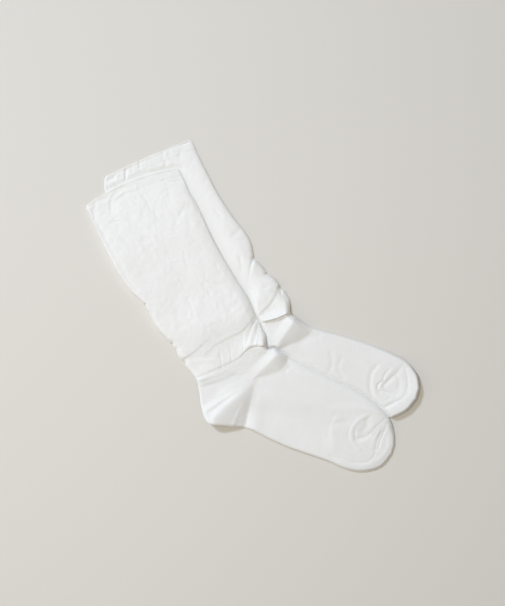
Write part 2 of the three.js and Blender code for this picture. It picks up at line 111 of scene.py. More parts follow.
underRows = table(
    rowKeys,
    ("cuff", -165, 144, -67, 187, 0.9, 0, 1),
    ("welt", -164, 127, -60, 171, 1.3, 0, 1),
    ("calf", -154, 108, -50, 151, 1.6, 0, 0),
    ("calfLow", -140, 84, -37, 126, 1.8, 0, 0),
    ("shin", -124, 58, -21, 101, 2.2, 0, 0),
    ("shinLow", -108, 33, -3, 77, 2.8, 0, 0),
    ("pinch", -96, 16, 4, 55, 3.6, 0, 0),
    ("puff", -82, -1, 18, 37, 3.8, 0, 0),
    ("roll", -68, -15, 32, 24, 3.6, 0, 0),
    ("tier", -57, -31, 43, 6, 2.2, 0, 0),
    ("hem", -44, -49, 45, -9, 1.8, 0, 0),
    ("ankle", -36, -65, 47, -12, 1.6, 0, 0),
    ("heelBack", -25, -86, 50, -14, 1.4, 0, 0),
    ("heel", -12, -100, 54, -17, 1.2, 0, 0),
    ("heelUnder", 8, -103, 60, -21, 1.2, 0, 0),
    ("sole", 30, -104, 69, -26, 1.2, 0, 0),
    ("arch", 51, -107, 85, -31, 1.4, 0, 0),
    ("archLow", 72, -110, 105, -36, 1.6, 0, 0),
    ("ball", 92, -116, 125, -42, 1.8, 0, 0),
    ("ballLow", 110, -122, 142, -48, 2.2, 0, 0),
    ("toeStart", 128, -129, 159, -55, 3.0, 1.5, 0),
    ("toe", 147, -131, 176, -64, 3.2, 3.4, 0),
    ("toeRound", 173, -121, 187.5, -79, 3.0, 4.7, 0),
    ("tip", 187, -106.5, 190.5, -94, 2.8, 4.7, 0),
)
# how far the leg's lower edge runs towards the cuff, and stands above the foot, from back to front
hemKeys = ("across", "out", "step")
overHem = table(
    hemKeys, (-1, 0, 0.4), (-0.4, 0, 0.4), (0, -0.5, 0.4), (0.25, 0.5, 0.5), (0.42, 5, 0.8), (0.58, 7, 2.0),
    (0.78, 5, 3), (0.92, 1, 4), (1, 0, 4))
underHem = table(
    hemKeys, (-1, 0, 1), (-0.2, 7, 1), (0.2, 6.5, 1.2), (0.43, 2.5, 3.2), (0.7, -0.5, 3.8), (1, 0, 2))
# small notches and bulges of the outline: row number, how far out, half length in rows
notchKeys = ("side", "row", "out", "half")
overNotches = table(
    notchKeys, ("back", 6.02, -1.6, 0.07), ("back", 8.15, -2.0, 0.10), ("back", 8.55, -1.6, 0.22),
    ("back", 9.22, -2.2, 0.09), ("front", 1.6, -1.2, 0.30), ("front", 9.55, 2.2, 0.26))
underNotches = table(
    notchKeys, ("front", 5.55, 1.0, 0.35), ("front", 6.12, -2.2, 0.09), ("front", 6.6, 0.8, 0.25),
    ("front", 7.12, -1.9, 0.08), ("front", 7.6, 0.8, 0.22), ("front", 8.28, -2.6, 0.10),
    ("front", 9.0, 1.0, 0.35))


def smoothStep(t):
    t = np.clip(t, 0, 1)
    return t * t * (3 - 2 * t)


def mix(a, b, share):
    return a + (b - a) * share


def arc(t):
    # rises from a slope at 0 to level at 1
    return np.sin(np.clip(t, 0, 1) * math.pi / 2)


def softFloor(value, roundness):
    # value where it is above 0, and 0 below, with a rounded bend
    return (value + np.sqrt(value ** 2 + roundness ** 2)) / 2


def column(rows, key, s):
    # a Catmull-Rom value between the rows, at row number s
    values = np.array([row[key] for row in rows], float)
    values = np.concatenate([[2 * values[0] - values[1]], values, [2 * values[-1] - values[-2]]])
    i = np.clip(np.floor(s).astype(int), 0, len(rows) - 2)
    t = s - i
    a, b, c, d = (values[i + k] for k in range(4))
    return b + 0.5 * t * (c - a + t * (2 * a - 5 * b + 4 * c - d + t * (3 * (b - c) + d - a)))


def smoothPath(path, steps=6):
    points = [dict(x=x, y=y) for x, y in path]
    s = np.linspace(0, len(path) - 1, steps * (len(path) - 1) + 1)
    return np.stack([column(points, "x", s), column(points, "y", s)], axis=1)


def nearestOnLine(line, x, y):
    # distance, share of the length, side and how far past an end, for every x, y
    best = np.full(x.shape, np.inf)
    share, side, past = np.zeros_like(best), np.ones_like(best), np.zeros_like(best)
    last = len(line) - 2
    for i, ((ax, ay), (bx, by)) in enumerate(zip(line[:-1], line[1:])):
        dx, dy = bx - ax, by - ay
        length = math.hypot(dx, dy)
        raw = ((x - ax) * dx + (y - ay) * dy) / length ** 2
        t = np.clip(raw, 0, 1)
        distance = np.hypot(x - ax - t * dx, y - ay - t * dy)
        closer = distance < best
        best = np.where(closer, distance, best)
        share = np.where(closer, (i + t) / (last + 1), share)
        side = np.where(closer, np.sign((x - ax) * dy - (y - ay) * dx), side)
        beyond = np.maximum(-raw, 0) * (i == 0) + np.maximum(raw - 1, 0) * (i == last)
        past = np.where(closer, beyond * length, past)
    return best, share, side, past


def distanceTo(line, x, y):
    best = np.full(x.shape, np.inf)
    for (ax, ay), (bx, by) in zip(line[:-1], line[1:]):
        dx, dy = bx - ax, by - ay
        t = np.clip(((x - ax) * dx + (y - ay) * dy) / (dx * dx + dy * dy), 0, 1)
        best = np.minimum(best, (x - ax - t * dx) ** 2 + (y - ay - t * dy) ** 2)
    return np.sqrt(best)


legWay = (0.5, -0.87)     # down the leg, from cuff to ankle
foldShape = {
    "start": 1, "end": 1,            # shares of the rise at its two ends
    "below": 0,                      # the share of the rise that the underside takes too
    "atEdge": 0.2, "fromEdge": 3,    # the share of the rise at the outline, and where it is whole
    "crest": 1,                      # how round a pleat's top is
    "rest": 0, "fade": 30,           # it comes down to this share, which fades out over this distance
    "bulge": 1,                      # its other side is hollow below 1, and full above it,
    "peak": 0.01,                    # widest at this share of its length,
    "farStart": 1, "farEnd": 1,      # and has these shares of that width at its ends
}
# a pleat's rounded bends, and how far past its ends it runs out. A step's is a share of its far width.
pleatShape = {"toeBend": 1.2, "cuffBend": 1.5, "pastEnd": 5}
stepPastEnd = 0.3


def fold(name, path, rise, near, far=None, kind="ridge", **shape):
    # near and far: its half widths on the cuff side and on the toe side. A ridge, or with a negative rise
    # a trough, falls off softly on both. A step stands on its cuff side only. A pleat has straighter faces.
    line = smoothPath(path)
    middle = line[len(line) // 2]
    nearCuff = [np.array([place - 10 * way]) for place, way in zip(middle, legWay)]
    side = nearestOnLine(line, *nearCuff)[2][0]
    return dict(foldShape, name=name, line=line, rise=rise, near=near, far=far or near, kind=kind,
                cuffSide=side or 1, **shape)


def foldRise(f, x, y):
    # how far one fold raises the cloth at each x, y. Past its reach it is left out, being next to nothing.
    reach = 3 * max(f["near"], f["far"]) + 1 + (2.5 * f["fade"] if f["rest"] else 0)
    rise = np.zeros_like(x)
    low, high = f["line"].min(axis=0) - reach, f["line"].max(axis=0) + reach
    nearby = (x > low[0]) & (x < high[0]) & (y > low[1]) & (y < high[1])
    if not nearby.any():
        return rise
    distance, share, side, past = nearestOnLine(f["line"], x[nearby], y[nearby])
    along = f["rise"] * mix(f["start"], f["end"], smoothStep(share))
    onCuffSide = side * f["cuffSide"] > 0
    if f["kind"] == "ridge":
        width = np.where(onCuffSide, f["near"], f["far"])
        rise[nearby] = along * np.exp(-(distance / width) ** 2)
    elif f["kind"] == "pleat":
        along = f["rise"] * mix(f["start"], f["end"], share ** 1.5)
        beside = np.sqrt(np.maximum(0, distance ** 2 - past ** 2))
        straight = np.hypot(beside, f["crest"]) - f["crest"]
        beyondPeak = np.maximum(0, share - f["peak"]) / (1 - f["peak"])
        narrowing = np.where(share < f["peak"], (1 - f["farStart"]) * (1 - share / f["peak"]) ** 2,
                             (1 - f["farEnd"]) * beyondPeak ** 1.5)
        farWidth = f["far"] * (1 - narrowing)
        toeFace = softFloor(1 - (straight / farWidth) ** f["bulge"], pleatShape["toeBend"] / farWidth)
        toRest = softFloor(1 - straight / f["near"], pleatShape["cuffBend"] / f["near"])
        plateau = np.exp(-(np.maximum(0, straight - f["near"]) / f["fade"]) ** 2)
        face = np.where(onCuffSide, mix(f["rest"], 1, toRest) * plateau, toeFace)
        rise[nearby] = along * face * np.exp(-(past / pleatShape["pastEnd"]) ** 2)
    else:
        across = np.where(onCuffSide, 1, -1) * np.sqrt(np.maximum(0, distance ** 2 - past ** 2))
        face = smoothStep(0.5 + across / (2 * f["near"]))
        runOut = (past / (stepPastEnd * f["far"])) ** 2
        rise[nearby] = along * face * np.exp(-(np.maximum(0, across) / f["far"]) ** 2 - runOut)
    return rise


noiseLattice = {"size": 97, "startX": 211.3, "startY": 173.7}


def latticeNoise(x, y, pitch, seed):
    # smooth random heights from -1 to 1
    size = noiseLattice["size"]
    lattice = np.random.default_rng(seed).uniform(-1, 1, (size, size))
    u, v = x / pitch + noiseLattice["startX"], y / pitch + noiseLattice["startY"]
    i, j = np.floor(u).astype(int), np.floor(v).astype(int)
    a, b = smoothStep(u - i), smoothStep(v - j)
    i, j, i1, j1 = i % size, j % size, (i + 1) % size, (j + 1) % size
    top = mix(lattice[i, j], lattice[i1, j], a)
    low = mix(lattice[i, j1], lattice[i1, j1], a)
    return mix(top, low, b)


# the loose cloth between its folds: soft swells, long slack waves and small dents
slack = {
    "swell": 0.34, "swellPitch": 23,
    "wave": 0.16, "waveLength": 26, "waveWidth": 8,
    "dent": 0.14, "dentPitch": 5,
    "fine": 0.065, "finePitch": 2.8,
    "bend": 5, "bendPitch": 17,          # the waves and dents don't run straight
    "footShare": 0.35,
    "fromSide": 5,                       # it grows over this distance from the side
    "nearCuff": 0.9, "cuffAt": 2,        # how much deeper the dents are there, and round which row
    "nearRoll": 0.7, "rollAt": 7,
    "rows": 1.5,
}


def slackRise(x, y, s, seed):
    wx = x + slack["bend"] * latticeNoise(x, y, slack["bendPitch"], seed + 5)
    wy = y + slack["bend"] * latticeNoise(x, y, slack["bendPitch"], seed + 6)
    down = legWay[0] * wx + legWay[1] * wy
    over = -legWay[1] * wx + legWay[0] * wy
    alongWave = down * slack["waveWidth"] / slack["waveLength"]
    crinkled = (1 + slack["nearCuff"] * np.exp(-((s - slack["cuffAt"]) / slack["rows"]) ** 2)
                + slack["nearRoll"] * np.exp(-((s - slack["rollAt"]) / slack["rows"]) ** 2))
    return (slack["swell"] * latticeNoise(x, y, slack["swellPitch"], seed)
            + slack["wave"] * latticeNoise(alongWave, over, slack["waveWidth"], seed + 3)
            + crinkled * slack["dent"] * latticeNoise(wx, wy, slack["dentPitch"], seed + 1)
            + crinkled * slack["fine"] * latticeNoise(x, y, slack["finePitch"], seed + 2))


# the cuff's edge is a soft roll with a groove under it
cuffRoll = {"rise": 0.35, "at": 1.4, "half": 1.5, "groove": 0.12, "grooveAt": 4.6, "grooveHalf": 1.6,
            "corner": 2.5, "cornerLength": 4}


def stackAt(s):
    return mix(cloth["cuffStack"], cloth["stack"], smoothStep(s / 3))


class Sock:
    def __init__(self, name, rows, folds, hem, notches, seed):
        self.name, self.rows, self.last = name, rows, len(rows) - 1
        self.folds, self.hem, self.notches = folds, hem, notches
        self.seed = seed
        self.on, self.cover = None, None
        s = np.linspace(0, self.last, 10 * self.last + 1)
        back = np.stack(self.plan(s, np.full(s.shape, -1.0)), axis=1)
        front = np.stack(self.plan(s, np.full(s.shape, 1.0)), axis=1)
        self.sides = np.concatenate([back, front[::-1]])
        cuff = np.stack(self.plan(np.zeros(7), np.linspace(0.75, -0.75, 7)), axis=1)
        self.outline = np.concatenate([self.sides, cuff, self.sides[:1]])

    def plan(self, s, u):
        bx, by, fx, fy = (column(self.rows, key, s) for key in ("backX", "backY", "frontX", "frontY"))
        width = np.hypot(fx - bx, fy - by)
        inwards = cuffRoll["corner"] * (1 - arc(s * cloth["rowPitch"] / cuffRoll["cornerLength"]))
        shift = {"back": inwards, "front": -inwards}
        for notch in self.notches:
            out = notch["out"] * np.exp(-((s - notch["row"]) / notch["half"]) ** 2)
            shift[notch["side"]] = shift[notch["side"]] + (out if notch["side"] == "front" else -out)
        t = (u + 1) / 2 + ((1 - u) / 2 * shift["back"] + (1 + u) / 2 * shift["front"]) / width
        bow = column(self.rows, "bow", s) * (1 - u * u) / width
        return bx + (fx - bx) * t - bow * (fy - by), by + (fy - by) * t + bow * (fx - bx)

    def hemValue(self, key, u):
        # a softened value of the leg's lower edge
        fine = np.linspace(-1, 1, 81)
        value = np.interp(fine, [row["across"] for row in self.hem], [row[key] for row in self.hem])
        return np.interp(u, fine, np.convolve(np.pad(value, 3, mode="edge"), np.ones(7) / 7, mode="valid"))

    def hemAt(self, u):
        # the row number at which the leg ends
        return cloth["hemRow"] - self.hemValue("out", u) / cloth["rowPitch"]

    def depth(self, x, y):
        # distance to the outline, negative outside
        inside = np.zeros(x.shape, bool)
        for (ax, ay), (bx, by) in zip(self.outline[:-1], self.outline[1:]):
            if ay != by:
                inside ^= ((ay > y) != (by > y)) & (x < ax + (bx - ax) * (y - ay) / (by - ay))
        distance = distanceTo(self.outline, x, y)
        return np.where(inside, distance, -distance)

    def climb(self, x, y, s):
        # the whole climb onto the sock below, and the share of it that is done
        if not self.on:
            return 0.0, 0.0
        reach = mix(cloth["legRide"], cloth["footRide"], smoothStep((s - 9) / 3))
        return stackAt(s + 1.3) + cloth["restGap"], smoothStep(self.on.depth(x, y) / reach + 1)

    def shown(self, x, y, s):
        # 0 where the other sock lies on this one and presses it flat, 1 clear of it
        if not self.cover:
            return 1.0
        outside = -self.cover.depth(x, y) - cloth["hideMargin"]
        reach = mix(coverReach["cuff"], coverReach["leg"], smoothStep((s - 1) / 2))
        return smoothStep(outside / mix(reach, coverReach["foot"], smoothStep((s - 7) / 2)))

    def foldsAt(self, x, y, inset):
        # how far all the folds raise the top, beyond what they raise the underside, and the underside
        above, below = np.zeros_like(x), np.zeros_like(x)
        for f in self.folds:
            rise = foldRise(f, x, y) * mix(f["atEdge"], 1, smoothStep(inset / f["fromEdge"]))
            below += np.maximum(0, rise) * f["below"]
            above += rise * (1 - f["below"])
        return above, below

    def edgesAt(self, s, u, inset):
        # the cuff's roll with its groove, and the leg's lower edge
        toCuff = s * cloth["rowPitch"]
        roll = cuffRoll["rise"] * np.exp(-((toCuff - cuffRoll["at"]) / cuffRoll["half"]) ** 2)
        groove = cuffRoll["groove"] * np.exp(-((toCuff - cuffRoll["grooveAt"]) / cuffRoll["grooveHalf"]) ** 2)
        toHem = (self.hemAt(u) - s) * cloth["rowPitch"]
        swell = arc(toHem / cloth["lipRound"]) * np.exp(-(toHem / cloth["lipReach"]) ** 2)
        lip = cloth["lip"] + self.hemValue("step", u) * swell * smoothStep(inset / 4)
        return roll - groove + np.where(toHem > -0.01, lip, 0)

    def heights(self, s, u):
        # plan place, bottom and top of the cloth
        x, y = self.plan(s, u)
        inset = distanceTo(self.sides, x, y)
        onFoot = smoothStep((s - cloth["hemRow"]) / 2)
        onBack = smoothStep(0.5 - u / 0.6) * (1 - smoothStep((s - 6) / 3))
        full, riding = self.climb(x, y, s)
        floor = full * riding
        showing = self.shown(x, y, s)

        reach = mix(mix(loftReach["leg"], loftReach["foot"], onFoot), loftReach["climb"], riding)
        reach = mix(reach, loftReach["back"], onBack)
        slow = mix(mix(slowShare["leg"], slowShare["foot"], onFoot), slowShare["back"], onBack)
        rounded = (1 - slow) * arc(inset / reach) + slow * arc(inset / loftReach["slow"])
        puff = np.maximum(0, column(self.rows, "loft", s)) * rounded

        nearTip = smoothStep((s - self.last + frontLift["allFrom"]) / 2)
        frontShare = mix(mix(frontLift["share"], frontLift["climb"], riding), 1, nearTip)
        lift = np.maximum(0, column(self.rows, "lift", s)) * smoothStep(1 - inset / cloth["liftReach"])
        lift = lift * mix(1, frontShare, smoothStep(u / 0.4 + 0.5))

        above, below = self.foldsAt(x, y, inset)
        loose = mix(1, slack["footShare"], onFoot) * smoothStep(inset / slack["fromSide"])
        above += loose * slackRise(x, y, s, self.seed)
        above += cloth["backFull"] * (full - floor) * onBack * arc(inset / cloth["backTurn"])
        above += self.edgesAt(s, u, inset)

        relief = puff + above
        bottom = floor + showing * (lift + below)
        rim = bottom + cloth["rim"]
        edge = mix(edgeReach["cloth"], mix(edgeReach["cloth"], edgeReach["footClimb"], onFoot), riding)
        top = (rim + (stackAt(s) - cloth["rim"]) * arc(inset / edge)
               + mix(np.clip(relief, 0, cloth["hidden"]), np.maximum(0, relief), showing))
        return x, y, rim - cloth["rim"] * arc(inset / cloth["rimTurn"]), top


overFolds = [
    # the last roll of the leg and the pleats that run into it
    fold("rollEdge", ((6, -12), (-0.5, -20), (-8.5, -29), (-17.5, -34.5), (-29, -40), (-40, -46),
                      (-47, -52.5)), 1.7, 1.6, 30, "step", start=0.5, end=0.4),
    fold("pleatEdge", ((-78.5, -62.5), (-68.5, -57), (-57, -48), (-47, -38), (-35.5, -27.5)),
         1.5, 1.0, 16, "step", end=0),
    fold("tierCreaseA", ((-24.5, -40), (-22, -53.5), (-21.5, -65)), -0.5, 0.9, start=0.5),
    fold("tierCreaseB", ((-8.5, -34.5), (-8, -51.5)), -0.6, 0.9, start=0.7),
    fold("tierDimple", ((-34.5, -52.5), (-33.5, -60.5), (-32, -72)), -0.45, 1.3),
    fold("tierLevel", ((-68.5, -59.5), (-51.5, -59.5), (-36.5, -59.5)), -0.35, 2.0, start=0.6),
    fold("tierTop", ((-70, -66), (-56, -63), (-42, -62)), 0.4, 3.0, start=0.6),
    fold("fanA", ((6, -17.5), (-0.5, -30), (-5, -46)), -0.9, 1.5, end=0.5),
    fold("fanB", ((8.5, -22), (6, -34.5), (3, -43.5)), -1.2, 1.6, start=0.6),
    fold("fanC", ((9.5, -26), (9.5, -36), (8.5, -45)), -0.7, 1.3, start=0.6),
    # creases of the leg
    fold("calfCrease", ((-75, 61.5), (-74, 52.5), (-70.5, 43.5)), -0.35, 1.3, start=0.6),
    fold("puffCreaseA", ((-57, 26.5), (-50.5, 23), (-41, 23), (-32, 21.5)), -0.5, 1.1, end=0.5),
    fold("puffCreaseB", ((-53.5, 21), (-50.5, 17.5), (-51.5, 24.5)), -0.5, 1.0),
    fold("puffCreaseC", ((-48, 17.5), (-46, 12), (-43.5, 6)), -0.55, 1.0, end=0.5),
    fold("puffCreaseD", ((-39, 47), (-36.5, 39), (-32, 32)), -0.35, 1.6, end=0.5),
    fold("puffCreaseE", ((-70.5, 7.5), (-66, -4)), -0.35, 1.6, end=0.5),
    fold("band", ((-175.7, 95.5), (-166.7, 81.9), (-162.2, 72.9), (-156.5, 61.6), (-149.7, 50.3), (-142, 37),
                  (-135, 26), (-129.5, 17.5)), -0.5, 2.6, 2.4, end=0.5),
    fold("bandLow", ((-111.5, -8.5), (-104.5, -23), (-95.5, -38)), -0.7, 1.4, end=0.7),
    fold("frontLineA", ((-74.5, 142), (-70.5, 133), (-66, 122.5), (-61.5, 111.5), (-58, 103.5)), -0.8, 1.1),
    fold("frontLineB", ((-67, 136), (-64, 127), (-61, 118), (-57, 107)), -0.7, 1.0, start=0.6),
    # the cuff
    fold("cuffCrease", ((-142.9, 131.6), (-149.7, 128.8), (-154.2, 123.7), (-157.6, 117), (-158.2, 111.3)),
         -0.7, 1.2, 8),
    fold("cuffRidge", ((-150.9, 121.5), (-145.2, 125.4), (-139.6, 129.4)), 0.3, 1.6),
    fold("cuffTrough", ((-149.7, 119.2), (-141.8, 124.9), (-130.5, 127.1)), -0.4, 1.3, 3, end=0.6),
    fold("cuffDent", ((-151, 129.5), (-143, 133)), -0.8, 2.2),
    fold("sideBandTop", ((-174.5, 113), (-176.3, 107), (-176.3, 96.6)), -0.6, 2.4, 2),
    fold("cornerLine", ((-170.5, 116.5), (-165.5, 118.1), (-159.9, 120.3)), -0.4, 1.6),
    fold("lowRidge", ((-165.5, 95.5), (-156.5, 96.6), (-146.3, 102.3)), 0.25, 1.4),
    fold("lowTrough", ((-158, 91.8), (-151.5, 92.5), (-146.3, 94.4)), -0.5, 1.2),
    fold("crinkleA", ((-108, 110), (-107.5, 103.5), (-104.5, 97.5)), -0.4, 1.5),
    fold("crinkleB", ((-102.5, 96.5), (-95.5, 91), (-90, 86.5), (-84, 82)), -0.3, 1.2),
    fold("crinkleC", ((-121.5, 122.5), (-117, 117), (-114.5, 110)), -0.3, 1.5),
    fold("crinkleD", ((-93, 129.5), (-91.5, 121.5)), -0.3, 1.3),
    fold("crinkleE", ((-84, 94.5), (-78.5, 102.5), (-68.5, 109)), -0.5, 3.8),
    fold("crinkleF", ((-127, 136), (-125, 129.5)), -0.3, 1.3),
    fold("crinkleG", ((-99, 139.5), (-88.5, 138.5), (-78.5, 139.5)), -0.4, 1.2),
    # the ankle's standing fold and the lifted heel
    fold("ankleRidge", ((37, -45.5), (31, -53.5), (24, -62), (16, -70), (5, -80.5)), 8.2, 8, 14.5, "pleat",
         end=0.12, below=0.8, farStart=0.55, farEnd=0.1, peak=0.5, rest=0.35, fade=16, bulge=1.15, crest=1.4,
         fromEdge=3.5, atEdge=0.75),
    fold("heelDome", ((-43, -136), (-38.5, -130), (-28.5, -119.5), (-18.5, -109.5), (-7.5, -99),
                      (1.5, -87.5)), 11.8, 20, 36, "pleat", end=0.05, below=0.85, farEnd=0.12, rest=0.42,
         fade=34, bulge=1.15, crest=1.3, atEdge=1),
    fold("heelHemRidge", ((-59.5, -85.5), (-47, -81.5), (-32, -76.5)), 1.5, 3.0, 2.2, end=0.2),
    fold("heelHemTrough", ((-59.5, -97.5), (-43.5, -93), (-29.9, -87.5), (-16.4, -81)), -2.6, 4.4, 8,
         end=0.4, atEdge=0.9),
    fold("heelSoftTrough", ((-54, -112), (-36, -105), (-16.5, -96.5)), -1.2, 6, 5, end=0.4, atEdge=0.8),
    fold("heelCrestA", ((-49, -118), (-36.5, -110), (-22, -101), (-10.5, -95)), 0.8, 2.4, 1.8, end=0.4),
    fold("heelCrestB", ((-41.5, -127), (-31, -116.5), (-20, -106.5), (-8.5, -97)), 1.1, 2.6, 3.0, end=0.4),
    fold("heelGroove", ((-46.5, -122), (-35, -113.5), (-22, -104)), -0.6, 1.5, end=0.4),
    fold("heelSub", ((-19, -135), (-14, -123.5), (-9.5, -113.5)), 0.7, 2.4, start=0.8, end=0.3),
    fold("valley", ((-6, -141), (-4, -128), (-1, -114.5), (1.5, -104.5), (3.5, -96)), -0.7, 4.2, 1.8,
         end=0.8),
    fold("hemSwell", ((-3, -46.5), (8.5, -47.5), (17, -46.5)), 2.2, 6, 6.5),
    fold("valleyFace", ((4, -142), (5, -128.5), (7.5, -114.5)), 1.6, 6.5, 10, end=0.4),
    # the toe
    fold("toeSwell", ((97, -132), (92.5, -146), (95, -160)), 0.5, 6.0),
    fold("toeRidge", ((93, -118), (104.5, -116.5), (114.5, -116.5), (136, -118.5), (153, -123.5)),
         0.8, 4, start=0.4),
    fold("toeOuter", ((90, -171), (101, -173.5), (112.5, -176.5), (123.5, -178.5), (133, -176.5), (139, -171),
                      (142.5, -162), (146.5, -151.5), (151, -142), (154, -134)), -0.9, 1.1,
         start=0.5, end=0.3),
    fold("toeRoll", ((101, -178), (114.5, -182.5), (126, -182.5), (137.5, -179.5), (147.5, -173), (155, -162),
                     (157, -149.5), (155.5, -138.5)), 0.5, 3),
    fold("toeArcBright", ((131, -126), (121.5, -130.5), (115.5, -138.5), (113.5, -147.5), (116, -156.5),
                          (123.5, -163.5)), 0.8, 2.6, 2.2, start=0.8, end=0.4),
    fold("toeArcDark", ((118, -130), (112.5, -137.5), (110.5, -146.5), (112, -155.5), (117, -162)),
         -0.5, 1.3, start=0.3, end=0.6),
    fold("toeInner", ((118, -143), (118, -152)), -0.5, 1.0),
    fold("toeDent", ((121, -152.5), (127, -150), (133, -147)), -1.0, 3.2, 2.6, end=0.8),
    fold("toeHollow", ((131.5, -129), (131, -136), (126.5, -143)), -0.8, 4.0),
    fold("toeValley", ((134, -146), (140.5, -139), (148.5, -131.5), (156.5, -125.5)), -0.4, 1.2, end=0.8),
    fold("toePleatA", ((136, -162), (139.5, -152), (145, -142)), 0.4, 1.6, start=0.6),
    fold("toePleatB", ((140, -164.5), (143, -154), (147.5, -143.5)), -0.4, 1.2),
    fold("toePleatC", ((144, -163.5), (147, -153), (150.5, -143)), -0.5, 1.0, end=0.5),
    fold("footSoftA", ((40, -59.5), (43.5, -68.5), (51.5, -75)), -0.35, 1.8),
    fold("footSoftB", ((44.5, -69.5), (38, -77.5), (43.5, -82)), -0.35, 1.8),
    fold("toeSoft", ((93, -126), (89.5, -136), (87.5, -149.5)), -0.3, 2.4, end=0.6),
    fold("toeBand", ((108, -132), (101, -133), (95.5, -135)), -0.5, 3.5),
]
underFolds = [
    fold("rollEdge", ((5.5, -15), (13, -9), (22, 1), (28, 11), (32, 22)), 2.3, 2.2, 22, "step", end=0.5),
    fold("pinchCrease", ((3.5, 53.5), (0.5, 43.5), (-1.5, 33.5), (-2.5, 26.5)), -1.3, 1.1, end=0.5),
    fold("pinchRidge", ((6, 50), (3.5, 42), (1.5, 33)), 0.6, 2.0, end=0.4),
    fold("notch", ((33, 24.5), (34, 17.5), (34.5, 12)), -1.2, 1.2),
    fold("lobeA", ((13, -10.5), (21, -5), (26.5, 0.5), (30, 7.5)), 0.5, 1.2, end=0.5),
    fold("lobeB", ((15.5, -14), (26.5, -12), (39, -6)), -0.35, 1.5),
    fold("smudgeA", ((-27.5, 62.5), (-26, 52.5)), -1.1, 2.2),
    fold("smudgeB", ((-12, 52.5), (-10, 43.5), (-13, 33.5)), -1.3, 2.6),
    fold("smudgeC", ((-20, 77.5), (-14, 83), (-10.5, 87.5)), -0.5, 2.2),
    fold("smudgeD", ((-39, 105.5), (-33.5, 100)), -0.7, 2.4),
    fold("smudgeE", ((-0.5, 22), (5, 16.5), (7.5, 9.5)), -0.6, 1.8),
    fold("smudgeF", ((8.5, 22), (14, 18.5), (20, 20)), -0.5, 1.5),
    fold("frontBand", ((-50.5, 156.5), (-41, 136), (-32, 118)), -0.5, 1.3),
    # the cuff
    fold("cuffCrease", ((-140.7, 151.5), (-140.9, 144), (-141.3, 136.2)), -1.5, 1.1, 1.6, end=0.8),
    fold("cornerA", ((-165, 139), (-160, 140), (-154, 142.5)), -0.9, 2.0),
    fold("cornerB", ((-163.5, 136), (-162, 133), (-159, 129.5)), -0.7, 1.6),
    fold("rimGroove", ((-99, 172.5), (-82, 179), (-70.5, 182.5)), -0.5, 1.2),
    # the ankle's standing fold
    fold("ankleRidge", ((54.5, -10), (50.5, -16), (43.5, -26.5), (35, -38), (28, -50)), 10.0, 9, 21.5,
         "pleat", end=0.2, below=0.8, farStart=0.5, farEnd=0.08, peak=0.3, rest=0.45, fade=18, bulge=1.15,
         crest=1.4, fromEdge=6, atEdge=0.4),
    fold("rollSwell", ((15, -16.5), (28, -15), (41, -9.5)), 1.3, 5, 5, atEdge=0.6),
    fold("hollow", ((56, -43.5), (67, -37), (76.5, -36)), -0.5, 4),
    # the toe
    fold("toeSeam", ((176.5, -62), (170, -69.5), (165, -76), (158.5, -83), (150.5, -90.5)), -0.9, 2.0, 2.8,
         start=0.2, end=1.2),
    fold("toeArcSmall", ((156.5, -73), (152.5, -77), (150, -81.5), (149.5, -86.5)), -0.6, 1.0, start=0.7),
    fold("toeArcRidge", ((161, -73), (155.5, -79.5), (151.5, -85.5)), 0.2, 1.3),
    fold("toePucker", ((147, -87.5), (143.5, -91), (143, -95.5), (146, -98.5)), -0.8, 1.1),
    fold("toePuckerRidge", ((146.5, -92), (147.5, -94.5)), 0.2, 1.1),
    fold("toeLine", ((146.5, -97.5), (155.5, -99), (165.5, -101)), -0.7, 1.0, end=0.7),
    fold("toeArc", ((142, -69.5), (136.5, -77.5), (135, -86.5), (135.5, -96.5), (139.5, -107),
                    (146.5, -115.5)), -1.1, 2.6, start=0.5, end=0.8),
    fold("toeArcBright", ((160, -65.5), (149.5, -68.5), (142, -75.5), (138, -84.5), (138, -95.5),
                          (142, -105.5)), 0.3, 2.3, start=0.4, end=0.7),
    fold("toePocket", ((147.5, -117.5), (154, -114.5), (161, -110)), -1.0, 2.4, 3.4, end=0.6),
    fold("toeLowRing", ((148.5, -118), (157.5, -113), (166, -108.5), (173, -103.5), (176.5, -94.5),
                        (177, -83), (174.5, -72)), -0.7, 1.7, end=0.7),
    fold("toeSoft", ((165.5, -79.5), (168, -87.5), (166.5, -95.5)), -0.4, 2.0),
    fold("toeFine", ((178, -90), (178.5, -96.5), (177.5, -101)), -0.5, 0.9),
    fold("toeCrinkle", ((153.5, -107), (158, -105.5)), -0.5, 1.2),
    fold("footSoftA", ((90, -53.5), (92, -65), (88.5, -76.5)), -0.4, 2.2),
    fold("footSoftB", ((102.5, -60.5), (99, -72), (104.5, -83)), -0.35, 2.2),
    fold("besideOver", ((-36, 88), (-26, 68), (-16, 50), (-10, 38)), 0.5, 8, end=0.2),
]
# dents where the elastic draws the under cuff together, steeper towards the back
dents = {"near": 1.2, "far": 2, "slant": 0.2}
for x, y, length, rise in (
        (-154, 144, 4, -0.3), (-133.9, 156, 5, -0.35), (-125.4, 161, 7, -0.55), (-115.8, 163, 8, -0.25),
        (-98.9, 170.3, 6, -0.35), (-96.1, 161.8, 7.5, -0.6), (-92.1, 173.2, 5.5, -0.35),
        (-79.7, 171, 6.8, -0.3)):
    line = ((x, y), (x - dents["slant"], y - length))
    underFolds.append(fold("dent", line, rise, dents["near"], dents["far"]))

under = Sock("under", underRows, underFolds, underHem, underNotches, 40)
over = Sock("over", overRows, overFolds, overHem, overNotches, 11)
over.on, under.cover = under, over


